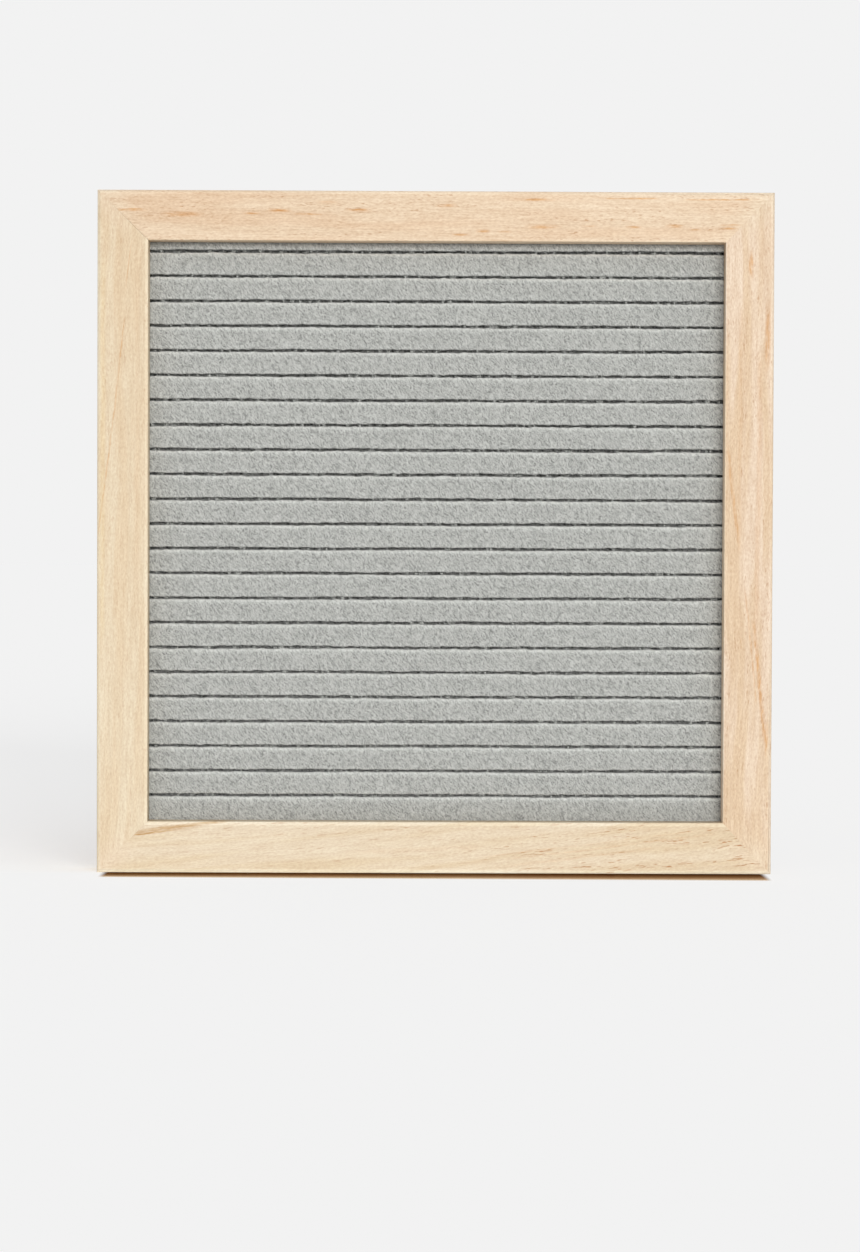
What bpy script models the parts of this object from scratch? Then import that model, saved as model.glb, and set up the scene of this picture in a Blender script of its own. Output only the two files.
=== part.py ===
"""A felt letter board, standing on its bottom rail, with its face towards -Y.

Four mitred rails hold a slotted core board, and one felt sheet is tucked into the slots.
A backing panel closes the rebate behind them, kept there by bendable steel points.
V-nails hold the mitres, and a sawtooth hanger sits on the back of the top rail.
The origin is the middle of the object's box in plan, at the foot of the bottom rail.
"""

import math

import bmesh
import bpy
from mathutils import Matrix, Vector

# Clearances: between pieces that rest on each other, round driven steel, and in a mitre
SEAT_GAP = 0.0003
DRIVEN_GAP = 0.0002
MITRE_GAP = 0.0002

# Frame, outside, and the moulding that it is cut from
FRAME_WIDTH = 0.254
FRAME_HEIGHT = 0.2563
RAIL_FACE = 0.0187
LIP_DEPTH = 0.0077
REBATE_WIDTH = 0.0055
WOOD_BEHIND_POINTS = 0.0019
OUTER_ROUND = 0.0018
INNER_ROUND = 0.0007
BACK_CHAMFER = 0.0005

# Felt, and the slots of the core that it is tucked into
FELT_THICKNESS = 0.0008
LETTER_GAP = 0.00095
SLOT_PITCH = 0.00934
FIRST_SLOT_DROP = 0.0034
LEAST_LAST_STRIP = 0.005
SLOT_DEPTH = 0.0038
SLOT_LIP = 0.0006
CORE_WEB = 0.0012

# Backing panel
BACKING_THICKNESS = 0.002
BACKING_CHAMFER = 0.0003

# Bendable points that hold the backing panel
POINT_LENGTH = 0.013
POINT_DRIVEN = 0.006
POINT_WIDTH = 0.0055
POINT_THICKNESS = 0.0004
POINT_TAPER = 0.002
POINT_FROM_CORNER = 0.06

# V-nails across the mitres
V_NAIL_DEPTH = 0.01
V_NAIL_WING = 0.0038
V_NAIL_CURL = 0.0008
V_NAIL_HALF_ANGLE = 45
V_NAIL_THICKNESS = 0.0005
V_NAIL_SUNK = 0.0003
V_NAIL_FROM_CORNER = 0.004
V_NAIL_FROM_REBATE = 0.007

# Sawtooth hanger and its nails
HANGER_LENGTH = 0.046
HANGER_HEIGHT = 0.0095
HANGER_THICKNESS = 0.0008
HANGER_RISE = 0.0012
HANGER_TAB = 0.0085
HANGER_RAMP = 0.0015
TOOTH_PITCH = 0.0024
TOOTH_DEPTH = 0.0018
NAIL_LENGTH = 0.009
NAIL_RADIUS = 0.0006
NAIL_TIP = 0.0012
NAIL_HEAD_RADIUS = 0.0016
NAIL_HEAD_THICKNESS = 0.0006

# Fineness of the round parts, in steps
ROUND_STEPS = 6
LIP_STEPS = 4
TUCK_STEPS = 6
NAIL_STEPS = 16
MERGE_DISTANCE = 0.000001

# Depths of the stack, counted from the frame's front face
FELT_FRONT = LIP_DEPTH + SEAT_GAP
CORE_FRONT = FELT_FRONT + FELT_THICKNESS + SEAT_GAP
CORE_BACK = CORE_FRONT + SLOT_DEPTH + CORE_WEB
BACKING_FRONT = CORE_BACK + SEAT_GAP
BACKING_BACK = BACKING_FRONT + BACKING_THICKNESS
POINT_FRONT = BACKING_BACK + SEAT_GAP
POINT_BACK = POINT_FRONT + POINT_THICKNESS
RAIL_DEPTH = POINT_BACK + WOOD_BEHIND_POINTS

# How far the hanger and its nail heads stand out behind the rails
HANGER_PROUD = SEAT_GAP + HANGER_THICKNESS + max(HANGER_RISE, SEAT_GAP + NAIL_HEAD_THICKNESS)

# World Y of the frame's front and back faces, with the whole box centred on the origin
FRONT_Y = -(RAIL_DEPTH + HANGER_PROUD) / 2
BACK_Y = FRONT_Y + RAIL_DEPTH

# The opening that the moulding leaves, and the panels that fill the rebate
OPENING_WIDTH = FRAME_WIDTH - 2 * RAIL_FACE
OPENING_TOP = FRAME_HEIGHT - RAIL_FACE
OPENING_BOTTOM = RAIL_FACE
BACK_FACE_WIDTH = RAIL_FACE - REBATE_WIDTH
PANEL_WIDTH = OPENING_WIDTH + 2 * (REBATE_WIDTH - SEAT_GAP)
PANEL_TOP = OPENING_TOP + REBATE_WIDTH - SEAT_GAP
PANEL_BOTTOM = OPENING_BOTTOM - REBATE_WIDTH + SEAT_GAP

# A slot takes two thicknesses of felt and still leaves the gap for a letter's tabs
HALF_SLOT = LETTER_GAP / 2 + FELT_THICKNESS + SEAT_GAP

# Turns about Y that carry the bottom rail, and the bottom left corner, round the frame
SIDE_TURNS = {"bottom": 0, "right": -90, "top": 180, "left": 90}
CORNER_TURNS = {"bottom_left": 45, "bottom_right": -45, "top_right": -135, "top_left": 135}

# Colour, roughness and metallic value of each material
FINISHES = {
    "wood": ((0.80, 0.66, 0.47), 0.62, 0.0),
    "felt": ((0.44, 0.45, 0.42), 0.95, 0.0),
    "fibreboard": ((0.42, 0.30, 0.19), 0.85, 0.0),
    "hardboard": ((0.30, 0.19, 0.11), 0.7, 0.0),
    "steel": ((0.62, 0.62, 0.60), 0.35, 1.0),
}


def clear_scene():
    for old in list(bpy.data.objects):
        bpy.data.objects.remove(old)


def new_collection(name, parent):
    made = bpy.data.collections.new(name)
    parent.children.link(made)
    return made


def material(name):
    found = bpy.data.materials.get(name)
    if found:
        return found
    colour, roughness, metallic = FINISHES[name]
    made = bpy.data.materials.new(name)
    made.use_nodes = True
    shader = made.node_tree.nodes["Principled BSDF"]
    shader.inputs["Base Color"].default_value = (*colour, 1)
    shader.inputs["Roughness"].default_value = roughness
    shader.inputs["Metallic"].default_value = metallic
    made.diffuse_color = (*colour, 1)
    return made


def add_part(name, data, finish, matrix=None):
    """A visible piece in the letter board's collection."""
    made = bpy.data.objects.new(name, data)
    made.data.materials.clear()
    made.data.materials.append(material(finish))
    made.matrix_world = matrix or Matrix()
    parts.objects.link(made)
    return made


def add_cutter(name, data, matrix, *collections):
    """A hidden shape that Booleans take away, in each collection that needs it."""
    made = bpy.data.objects.new(name, data)
    made.matrix_world = matrix
    made.hide_render = True
    made.display_type = "WIRE"
    for collection in collections:
        collection.objects.link(made)
    return made


def cut_by(piece, collection):
    modifier = piece.modifiers.new("cuts", "BOOLEAN")
    modifier.operation = "DIFFERENCE"
    modifier.operand_type = "COLLECTION"
    modifier.collection = collection
    modifier.solver = "EXACT"


def arc(centre, radius, start, end, steps):
    """Points round a centre from one angle to another, in degrees."""
    angles = [math.radians(start + (end - start) * i / steps) for i in range(steps + 1)]
    return [(centre[0] + radius * math.cos(a), centre[1] + radius * math.sin(a)) for a in angles]


def outline_mesh(name, outline, half):
    """A flat outline given thickness both ways along its own Z, as one welded mesh."""
    curve = bpy.data.curves.new(name, "CURVE")
    curve.dimensions = "2D"
    curve.fill_mode = "BOTH"
    curve.extrude = half
    spline = curve.splines.new("POLY")
    spline.points.add(len(outline) - 1)
    for point, (x, y) in zip(spline.points, outline):
        point.co = (x, y, 0, 1)
    spline.use_cyclic_u = True
    guide = bpy.data.objects.new(name, curve)
    parts.objects.link(guide)
    graph = bpy.context.evaluated_depsgraph_get()
    mesh = bpy.data.meshes.new_from_object(guide.evaluated_get(graph))
    bpy.data.objects.remove(guide)
    work = bmesh.new()
    work.from_mesh(mesh)
    bmesh.ops.remove_doubles(work, verts=work.verts, dist=MERGE_DISTANCE)
    bmesh.ops.recalc_face_normals(work, faces=work.faces)
    work.to_mesh(mesh)
    work.free()
    mesh.name = name
    return mesh


def section_frame():
    """Turns an outline of (depth, height) into a bar along X, with depth along Y."""
    return Matrix.Translation((0, FRONT_Y, 0)) @ Matrix(
        ((0, 0, 1, 0), (1, 0, 0, 0), (0, 1, 0, 0), (0, 0, 0, 1))
    )


def face_frame(depth):
    """Turns an outline of (x, height) into a plate that faces -Y at a depth in the frame."""
    return Matrix.Translation((0, FRONT_Y + depth, 0)) @ Matrix.Rotation(math.pi / 2, 4, "X")


def side_frame(side):
    """Carries what is made on the bottom rail, about its middle, to another side."""
    place = {
        "bottom": (0, 0, 0),
        "right": (FRAME_WIDTH / 2, 0, FRAME_HEIGHT / 2),
        "top": (0, 0, FRAME_HEIGHT),
        "left": (-FRAME_WIDTH / 2, 0, FRAME_HEIGHT / 2),
    }[side]
    turn = math.radians(SIDE_TURNS[side])
    return Matrix.Translation(place) @ Matrix.Rotation(turn, 4, "Y")


def side_length(side):
    return FRAME_HEIGHT if side in ("left", "right") else FRAME_WIDTH


# Mitred rails

def rail_outline():
    """The moulding's section: depth from the front face, and distance in from the outside."""
    outer = (OUTER_ROUND, OUTER_ROUND)
    inner = (INNER_ROUND, RAIL_FACE - INNER_ROUND)
    return [
        (RAIL_DEPTH, BACK_CHAMFER),
        (RAIL_DEPTH - BACK_CHAMFER, 0),
        *arc(outer, OUTER_ROUND, 270, 180, ROUND_STEPS),
        *arc(inner, INNER_ROUND, 180, 90, LIP_STEPS),
        (LIP_DEPTH, RAIL_FACE),
        (LIP_DEPTH, BACK_FACE_WIDTH),
        (RAIL_DEPTH, BACK_FACE_WIDTH),
    ]


def cut_mitres(mesh, half_length):
    """Cuts both ends at 45 degrees, half a mitre's gap back from the corner's diagonal."""
    work = bmesh.new()
    work.from_mesh(mesh)
    for end in (-1, 1):
        normal = Vector((end, 0, 1)).normalized()
        corner = Vector((end * half_length, 0, 0))
        cut = bmesh.ops.bisect_plane(
            work,
            geom=work.verts[:] + work.edges[:] + work.faces[:],
            dist=MERGE_DISTANCE,
            plane_co=corner - normal * MITRE_GAP / 2,
            plane_no=normal,
            clear_outer=True,
        )
        rim = [piece for piece in cut["geom_cut"] if isinstance(piece, bmesh.types.BMEdge)]
        bmesh.ops.holes_fill(work, edges=rim)
    bmesh.ops.recalc_face_normals(work, faces=work.faces)
    work.to_mesh(mesh)
    work.free()


def make_rail(side, cutters):
    half_length = side_length(side) / 2
    mesh = outline_mesh(f"frame_{side}_rail", rail_outline(), half_length)
    mesh.transform(section_frame())
    cut_mitres(mesh, half_length)
    rail = add_part(f"frame_{side}_rail", mesh, "wood", side_frame(side))
    cut_by(rail, cutters)


# Slotted core and tucked felt

def slot_heights():
    """World heights of the slots, from the lowest up: as many as the opening shows."""
    room = OPENING_TOP - OPENING_BOTTOM - FIRST_SLOT_DROP - LEAST_LAST_STRIP
    count = 1 + math.floor(room / SLOT_PITCH)
    first = OPENING_TOP - FIRST_SLOT_DROP
    return [first - SLOT_PITCH * i for i in reversed(range(count))]


def slotted_line(lift, tuck):
    """The slotted face as (depth, height), from the bottom up, lifted off the core's wood.

    tuck gives the points of one slot's end, from its lower wall to its upper one.
    """
    lip_depth = CORE_FRONT + SLOT_LIP
    lip_radius = SLOT_LIP + lift
    line = [(CORE_FRONT - lift, PANEL_BOTTOM)]
    for height in slot_heights():
        reach = HALF_SLOT + SLOT_LIP
        line += arc((lip_depth, height - reach), lip_radius, 180, 90, LIP_STEPS)
        line += tuck(height, lift)
        line += arc((lip_depth, height + reach), lip_radius, 270, 180, LIP_STEPS)
    line.append((CORE_FRONT - lift, PANEL_TOP))
    return line


def square_tuck(height, lift):
    """The flat end that a saw leaves in the core."""
    depth = CORE_FRONT + SLOT_DEPTH - lift
    half = HALF_SLOT - lift
    return [(depth, height - half), (depth, height + half)]


def round_tuck(height, lift):
    """The turn that the felt makes at the end of a slot."""
    centre = (CORE_FRONT + SLOT_DEPTH - HALF_SLOT, height)
    return arc(centre, HALF_SLOT - lift, -90, 90, TUCK_STEPS)


def make_core():
    outline = slotted_line(0, square_tuck)
    outline += [(CORE_BACK, PANEL_TOP), (CORE_BACK, PANEL_BOTTOM)]
    mesh = outline_mesh("core_board", outline, PANEL_WIDTH / 2)
    mesh.transform(section_frame())
    add_part("core_board", mesh, "fibreboard")


def make_felt():
    """One sheet of even thickness, pleated into every slot."""
    front = slotted_line(SEAT_GAP + FELT_THICKNESS, round_tuck)
    back = slotted_line(SEAT_GAP, round_tuck)
    mesh = outline_mesh("felt_sheet", front + back[::-1], PANEL_WIDTH / 2)
    mesh.transform(section_frame())
    add_part("felt_sheet", mesh, "felt")


# Backing panel and the points that hold it

def make_backing():
    bpy.ops.mesh.primitive_cube_add(
        size=1,
        location=(0, FRONT_Y + (BACKING_FRONT + BACKING_BACK) / 2, (PANEL_BOTTOM + PANEL_TOP) / 2),
    )
    panel = bpy.context.object
    panel.name = "backing_panel"
    panel.data.name = "backing_panel"
    panel.data.transform(
        Matrix.Diagonal((PANEL_WIDTH, BACKING_THICKNESS, PANEL_TOP - PANEL_BOTTOM, 1))
    )
    panel.data.materials.append(material("hardboard"))
    for collection in list(panel.users_collection):
        collection.objects.unlink(panel)
    parts.objects.link(panel)
    bevel = panel.modifiers.new("eased_edges", "BEVEL")
    bevel.width = BACKING_CHAMFER
    bevel.segments = 1


def point_outline(grow):
    """A steel strip across the rebate's wall: x along the rail, height from its outside.

    The driven end is tapered and the free end, over the panel, is round.
    """
    half = POINT_WIDTH / 2 + grow
    low = BACK_FACE_WIDTH - POINT_DRIVEN - grow
    high = BACK_FACE_WIDTH - POINT_DRIVEN + POINT_LENGTH
    return [
        (-half, low + POINT_TAPER),
        (-half + POINT_TAPER, low),
        (half - POINT_TAPER, low),
        (half, low + POINT_TAPER),
        *arc((0, high - half), half, 0, 180, ROUND_STEPS),
    ]


def make_points(cutters):
    depth = (POINT_FRONT + POINT_BACK) / 2
    names = {
        "bottom": ("bottom_left", "bottom_right"),
        "right": ("right_lower", "right_upper"),
        "top": ("top_right", "top_left"),
        "left": ("left_upper", "left_lower"),
    }
    for side, pair in names.items():
        reach = side_length(side) / 2 - POINT_FROM_CORNER
        for name, shift in zip(pair, (-reach, reach)):
            place = side_frame(side) @ Matrix.Translation((shift, 0, 0))
            point = outline_mesh(f"point_{name}", point_outline(0), POINT_THICKNESS / 2)
            point.transform(face_frame(depth))
            add_part(f"point_{name}", point, "steel", place)
            slot = outline_mesh(
                f"point_slot_{name}", point_outline(DRIVEN_GAP), POINT_THICKNESS / 2 + DRIVEN_GAP
            )
            slot.transform(face_frame(depth))
            add_cutter(f"point_slot_{name}", slot, place, cutters)


# V-nails

def ribbon_mesh(name, line, start, end):
    """An open strip that follows a line of (x, height) and runs from one Y to another."""
    mesh = bpy.data.meshes.new(name)
    work = bmesh.new()
    spots = [work.verts.new((x, start, z)) for x, z in line]
    edges = [work.edges.new(pair) for pair in zip(spots, spots[1:])]
    grown = bmesh.ops.extrude_edge_only(work, edges=edges)["geom"]
    fresh = [piece for piece in grown if isinstance(piece, bmesh.types.BMVert)]
    bmesh.ops.translate(work, verts=fresh, vec=(0, end - start, 0))
    work.to_mesh(mesh)
    work.free()
    return mesh


def thicken(piece, thickness):
    wall = piece.modifiers.new("wall", "SOLIDIFY")
    wall.thickness = thickness
    wall.offset = 0
    wall.use_even_offset = True


def v_line(grow):
    """A V with its point at the origin, opening along +Z, and a small curl on each wing."""
    angle = math.radians(V_NAIL_HALF_ANGLE)
    wing = V_NAIL_WING * Vector((math.sin(angle), math.cos(angle)))
    curl = wing + Vector((V_NAIL_CURL + grow, 0))
    right = [tuple(wing), tuple(curl)]
    left = [(-x, z) for x, z in reversed(right)]
    return [*left, (0, 0), *right]


def make_v_nails(cutters):
    diagonal = BACK_FACE_WIDTH * math.sqrt(2)
    places = {"outer": V_NAIL_FROM_CORNER, "inner": diagonal - V_NAIL_FROM_REBATE}
    head = BACK_Y - V_NAIL_SUNK
    for corner, turn in CORNER_TURNS.items():
        side_x = -1 if corner.endswith("left") else 1
        corner_z = FRAME_HEIGHT if corner.startswith("top") else 0
        at_corner = Matrix.Translation((side_x * FRAME_WIDTH / 2, 0, corner_z))
        aim = at_corner @ Matrix.Rotation(math.radians(turn), 4, "Y")
        for spot, along in places.items():
            name = f"{corner}_{spot}"
            place = aim @ Matrix.Translation((0, 0, along))
            mesh = ribbon_mesh(f"v_nail_{name}", v_line(0), head - V_NAIL_DEPTH, head)
            nail = add_part(f"v_nail_{name}", mesh, "steel", place)
            thicken(nail, V_NAIL_THICKNESS)
            foot = head - V_NAIL_DEPTH - DRIVEN_GAP
            room = ribbon_mesh(f"v_pocket_{name}", v_line(DRIVEN_GAP), foot, BACK_Y + SEAT_GAP)
            pocket = add_cutter(f"v_pocket_{name}", room, place, cutters)
            thicken(pocket, V_NAIL_THICKNESS + 2 * DRIVEN_GAP)


# Sawtooth hanger and its nails

def hanger_height():
    """World height of the hanger's middle: half way up the top rail's back face."""
    return FRAME_HEIGHT - BACK_FACE_WIDTH / 2


def hanger_line():
    """The strip seen from above: flat tabs, and a middle that stands off the rail."""
    end = HANGER_LENGTH / 2
    tab = end - HANGER_TAB
    step = tab - HANGER_RAMP
    half = [(step, HANGER_RISE), (tab, 0), (end, 0)]
    return [(-x, y) for x, y in reversed(half)] + half


def teeth_outline():
    """A zigzag along the strip's lower edge, between the ramps, as (x, height)."""
    low = hanger_height() - HANGER_HEIGHT / 2
    length = HANGER_LENGTH - 2 * (HANGER_TAB + HANGER_RAMP)
    count = math.floor(length / TOOTH_PITCH)
    start = -count * TOOTH_PITCH / 2
    line = []
    for half_step in range(2 * count + 1):
        notch = TOOTH_DEPTH * (half_step % 2)
        line.append((start + half_step * TOOTH_PITCH / 2, low + notch))
    return line + [(-start, low - TOOTH_DEPTH), (start, low - TOOTH_DEPTH)]


def make_hanger(rail_cutters, hanger_cutters):
    flat = BACK_Y + SEAT_GAP + HANGER_THICKNESS / 2
    place = Matrix.Translation((0, flat, hanger_height())) @ Matrix.Rotation(-math.pi / 2, 4, "X")
    mesh = ribbon_mesh("hanger_plate", hanger_line(), -HANGER_HEIGHT / 2, HANGER_HEIGHT / 2)
    plate = add_part("hanger_plate", mesh, "steel", place)
    thicken(plate, HANGER_THICKNESS)
    cut_by(plate, hanger_cutters)
    teeth = outline_mesh("hanger_teeth", teeth_outline(), HANGER_PROUD)
    teeth.transform(face_frame(RAIL_DEPTH + HANGER_PROUD))
    add_cutter("hanger_teeth", teeth, Matrix(), hanger_cutters)
    for name, side in (("left", -1), ("right", 1)):
        make_hanger_nail(name, side * (HANGER_LENGTH - HANGER_TAB) / 2, rail_cutters, hanger_cutters)


def nail_profile():
    """Radius and height down the nail's outer side, from its head to its tip."""
    neck = -NAIL_HEAD_THICKNESS
    return [
        (0, 0),
        (NAIL_HEAD_RADIUS, 0),
        (NAIL_HEAD_RADIUS, neck),
        (NAIL_RADIUS, neck),
        (NAIL_RADIUS, neck - NAIL_LENGTH + NAIL_TIP),
        (0, neck - NAIL_LENGTH),
    ]


def make_hanger_nail(name, x, rail_cutters, hanger_cutters):
    head = BACK_Y + HANGER_THICKNESS + 2 * SEAT_GAP + NAIL_HEAD_THICKNESS
    aim = Matrix.Rotation(-math.pi / 2, 4, "X")
    place = Matrix.Translation((x, head, hanger_height())) @ aim
    mesh = bpy.data.meshes.new(f"hanger_nail_{name}")
    work = bmesh.new()
    spots = [work.verts.new((radius, 0, height)) for radius, height in nail_profile()]
    for pair in zip(spots, spots[1:]):
        work.edges.new(pair)
    work.to_mesh(mesh)
    work.free()
    nail = add_part(f"hanger_nail_{name}", mesh, "steel", place)
    turn = nail.modifiers.new("turned", "SCREW")
    turn.steps = NAIL_STEPS
    turn.render_steps = NAIL_STEPS
    turn.use_merge_vertices = True
    turn.merge_threshold = MERGE_DISTANCE
    drill = bpy.data.meshes.new(f"nail_hole_{name}")
    work = bmesh.new()
    bmesh.ops.create_cone(
        work,
        cap_ends=True,
        segments=NAIL_STEPS,
        radius1=NAIL_RADIUS + DRIVEN_GAP,
        radius2=NAIL_RADIUS + DRIVEN_GAP,
        depth=2 * (NAIL_HEAD_THICKNESS + NAIL_LENGTH + DRIVEN_GAP),
    )
    work.to_mesh(drill)
    work.free()
    add_cutter(f"nail_hole_{name}", drill, place, rail_cutters, hanger_cutters)


clear_scene()
parts = new_collection("felt_letter_board", bpy.context.scene.collection)
cutters = new_collection("cutters", bpy.context.scene.collection)
rail_cutters = new_collection("rail_cutters", cutters)
hanger_cutters = new_collection("hanger_cutters", cutters)

make_core()
make_felt()
make_backing()
make_points(rail_cutters)
make_v_nails(rail_cutters)
make_hanger(rail_cutters, hanger_cutters)
for side_name in SIDE_TURNS:
    make_rail(side_name, rail_cutters)

bpy.context.view_layer.update()
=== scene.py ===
# %% [markdown]
# # A felt letter board
#
# The board is a mitred frame of pale wood round a grey felt panel. The felt is one sheet,
# tucked into level slots, and it is the slots that give the board its look. The solid
# model comes first, as a fixed frame: it says where every piece lies. The cells below
# dress it, piece by piece, for a picture taken straight at the felt.

# %% Load the solid model
import math
import random

import bmesh
import bpy
from mathutils import Matrix, Vector, noise


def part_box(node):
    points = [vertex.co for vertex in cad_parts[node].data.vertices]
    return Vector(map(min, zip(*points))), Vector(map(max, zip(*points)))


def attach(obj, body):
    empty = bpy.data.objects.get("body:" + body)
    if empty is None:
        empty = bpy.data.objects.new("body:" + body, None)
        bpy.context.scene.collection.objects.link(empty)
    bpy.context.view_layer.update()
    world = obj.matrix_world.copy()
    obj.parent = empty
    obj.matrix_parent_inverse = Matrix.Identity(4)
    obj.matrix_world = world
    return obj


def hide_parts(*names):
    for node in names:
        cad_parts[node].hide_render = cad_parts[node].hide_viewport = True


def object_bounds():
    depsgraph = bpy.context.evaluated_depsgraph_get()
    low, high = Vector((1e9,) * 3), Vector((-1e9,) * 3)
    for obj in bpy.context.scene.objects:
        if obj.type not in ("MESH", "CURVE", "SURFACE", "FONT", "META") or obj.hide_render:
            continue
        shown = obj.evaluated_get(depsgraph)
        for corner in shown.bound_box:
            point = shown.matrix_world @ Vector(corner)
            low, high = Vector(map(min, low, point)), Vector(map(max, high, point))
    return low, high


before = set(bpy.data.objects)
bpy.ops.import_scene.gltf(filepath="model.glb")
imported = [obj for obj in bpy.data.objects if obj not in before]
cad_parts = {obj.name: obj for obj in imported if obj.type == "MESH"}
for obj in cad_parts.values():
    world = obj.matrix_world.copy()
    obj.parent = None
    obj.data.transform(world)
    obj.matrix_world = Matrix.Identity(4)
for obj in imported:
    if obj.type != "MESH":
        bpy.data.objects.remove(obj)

solid_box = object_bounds()
print("solid model:", len(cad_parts), "nodes, box", [tuple(corner) for corner in solid_box])

# %% [markdown]
# ## The camera
#
# The board fills most of the picture's width and looks almost free of perspective, so
# the camera stands about a metre away with a long lens. It could be aimed by eye, but a
# frame's straight edges show the smallest turn. So its place and its turns are named
# values, found by fitting the frame's four corners. There is no lens shift and no blur.

# %% Camera
MM = 0.001
picture_height = 1252
camera_distance = 1100 * MM
camera_side = -9.29 * MM
camera_height = 116.5 * MM
camera_down = math.radians(1.213)
camera_right = math.radians(0.389)
camera_roll = math.radians(0.221)
focal_pixels = 2929.0
sensor = 36

face_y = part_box("frame_top_rail")[0].y
camera_data = bpy.data.cameras.new("camera")
camera_data.sensor_fit = "VERTICAL"
camera_data.sensor_height = sensor
camera_data.sensor_width = sensor
camera_data.lens = focal_pixels * sensor / picture_height
camera_data.clip_end = 1000
camera = bpy.data.objects.new("camera", camera_data)
bpy.context.scene.collection.objects.link(camera)
camera.matrix_world = (
    Matrix.Translation((camera_side, face_y - camera_distance, camera_height))
    @ Matrix.Rotation(-camera_right, 4, "Z")
    @ Matrix.Rotation(math.pi / 2 - camera_down, 4, "X")
    @ Matrix.Rotation(camera_roll, 4, "Z")
)
bpy.context.scene.camera = camera
print("lens", round(camera_data.lens, 1), "mm at", camera_distance, "m")

# %% [markdown]
# ## Floor and light
#
# The board stands on a white sweep whose horizon can't be seen. A curved backdrop would
# do that, but there is a simpler way. Sun lamps and an even sky light a flat floor to
# the same brightness everywhere, so when the sky shows that same grey to the camera, the
# floor runs into it with no line. Two soft lamps stand in front: a key lamp low on the
# right, which throws the shadow that trails off to the left, and a fill lamp beside the
# camera, which reaches into the corners of the recess.

# %% Colour helper
def from_8_bit(red, green, blue):
    """A colour read off a screen, from 0 to 255, as the linear values that shaders take."""
    def linear(value):
        value /= 255
        return value / 12.92 if value <= 0.04045 else ((value + 0.055) / 1.055) ** 2.4
    return tuple(linear(value) for value in (red, green, blue))

# %% Node helpers
def add_node(tree, kind, inputs=None, **settings):
    """A shader node with its settings, and each input given a value or linked."""
    made = tree.nodes.new(f"ShaderNode{kind}")
    for name, value in settings.items():
        setattr(made, name, value)
    for name, value in (inputs or {}).items():
        if isinstance(value, bpy.types.NodeSocket):
            tree.links.new(value, made.inputs[name])
        else:
            made.inputs[name].default_value = value
    return made

def calculate(tree, operation, *values):
    """The result of one Math node."""
    return add_node(tree, "Math", dict(enumerate(values)), operation=operation).outputs[0]

def product(tree, first, *others):
    """Several values multiplied."""
    for value in others:
        first = calculate(tree, "MULTIPLY", first, value)
    return first

def scaled(tree, vector, amount):
    """A colour or a direction times one value."""
    return add_node(tree, "VectorMath", {0: vector, "Scale": amount}, operation="SCALE").outputs[0]

def remap(tree, value, low, high, to_low=0.0, to_high=1.0, smooth=True):
    """A value taken from one range to another, with soft ends."""
    kind = "SMOOTHSTEP" if smooth else "LINEAR"
    inputs = {"Value": value, "From Min": low, "From Max": high, "To Min": to_low, "To Max": to_high}
    return add_node(tree, "MapRange", inputs, interpolation_type=kind).outputs["Result"]

def blend_colours(tree, amount, first, second):
    """Two colours mixed by an amount."""
    made = add_node(tree, "Mix", data_type="RGBA", clamp_factor=True)
    for socket, value in zip((made.inputs[0], made.inputs[6], made.inputs[7]), (amount, first, second)):
        if isinstance(value, bpy.types.NodeSocket):
            tree.links.new(value, socket)
        else:
            socket.default_value = (*value, 1)
    return made.outputs[2]

def in_millimetres(tree):
    """The place of a point in its piece's own coordinates, in millimetres."""
    place = add_node(tree, "TexCoord").outputs["Object"]
    return add_node(tree, "Mapping", {"Vector": place, "Scale": (1 / MM,) * 3}).outputs[0]

def stretched_noise(tree, point, size, seed, detail=2.0, roughness=0.5):
    """Noise whose cells have that size along each axis, from about 0 to 1."""
    scale = tuple(1 / step for step in size)
    start = (seed, seed * 1.7, seed * 0.6)
    moved = add_node(tree, "Mapping", {"Vector": point, "Scale": scale, "Location": start})
    settings = {"Scale": 1.0, "Detail": detail, "Roughness": roughness}
    return add_node(tree, "TexNoise", {"Vector": moved.outputs[0], **settings}).outputs["Fac"]

# %% Material helpers
def new_finish(name, roughness=0.6, metallic=0.0, specular=0.5):
    """A material with its shader's even values set on the shader itself."""
    made = bpy.data.materials.new(name)
    made.use_nodes = True
    shader = made.node_tree.nodes["Principled BSDF"]
    shader.inputs["Roughness"].default_value = roughness
    shader.inputs["Metallic"].default_value = metallic
    shader.inputs["Specular IOR Level"].default_value = specular
    return made, made.node_tree, shader

def add_relief(tree, shader, height, strength, distance):
    """Fine relief that is too small for the mesh, from a height and its depth in metres."""
    bump = add_node(tree, "Bump", {"Height": height, "Strength": strength, "Distance": distance})
    tree.links.new(bump.outputs[0], shader.inputs["Normal"])

# %% Lamps
backdrop_grey = from_8_bit(242, 242, 242)
sky_strength = 0.50

def soft_sun(name, azimuth, elevation, spread, level):
    """A sun lamp of that level, azimuth counted from the camera's side towards the right."""
    data = bpy.data.lights.new(name, "SUN")
    data.angle = math.radians(spread)
    data.energy = level * math.pi
    lamp = bpy.data.objects.new(name, data)
    a, e = math.radians(azimuth), math.radians(elevation)
    towards = Vector((math.sin(a) * math.cos(e), -math.cos(a) * math.cos(e), math.sin(e)))
    lamp.rotation_mode = "QUATERNION"
    lamp.rotation_quaternion = towards.to_track_quat("Z", "Y")
    bpy.context.scene.collection.objects.link(lamp)
    return level * math.sin(e)

floor_light = sky_strength
floor_light += soft_sun("key_lamp", azimuth=19, elevation=9.5, spread=20, level=0.25)
floor_light += soft_sun("fill_lamp", azimuth=1, elevation=9, spread=16, level=0.28)
print("light on the floor:", round(floor_light, 3))

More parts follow.
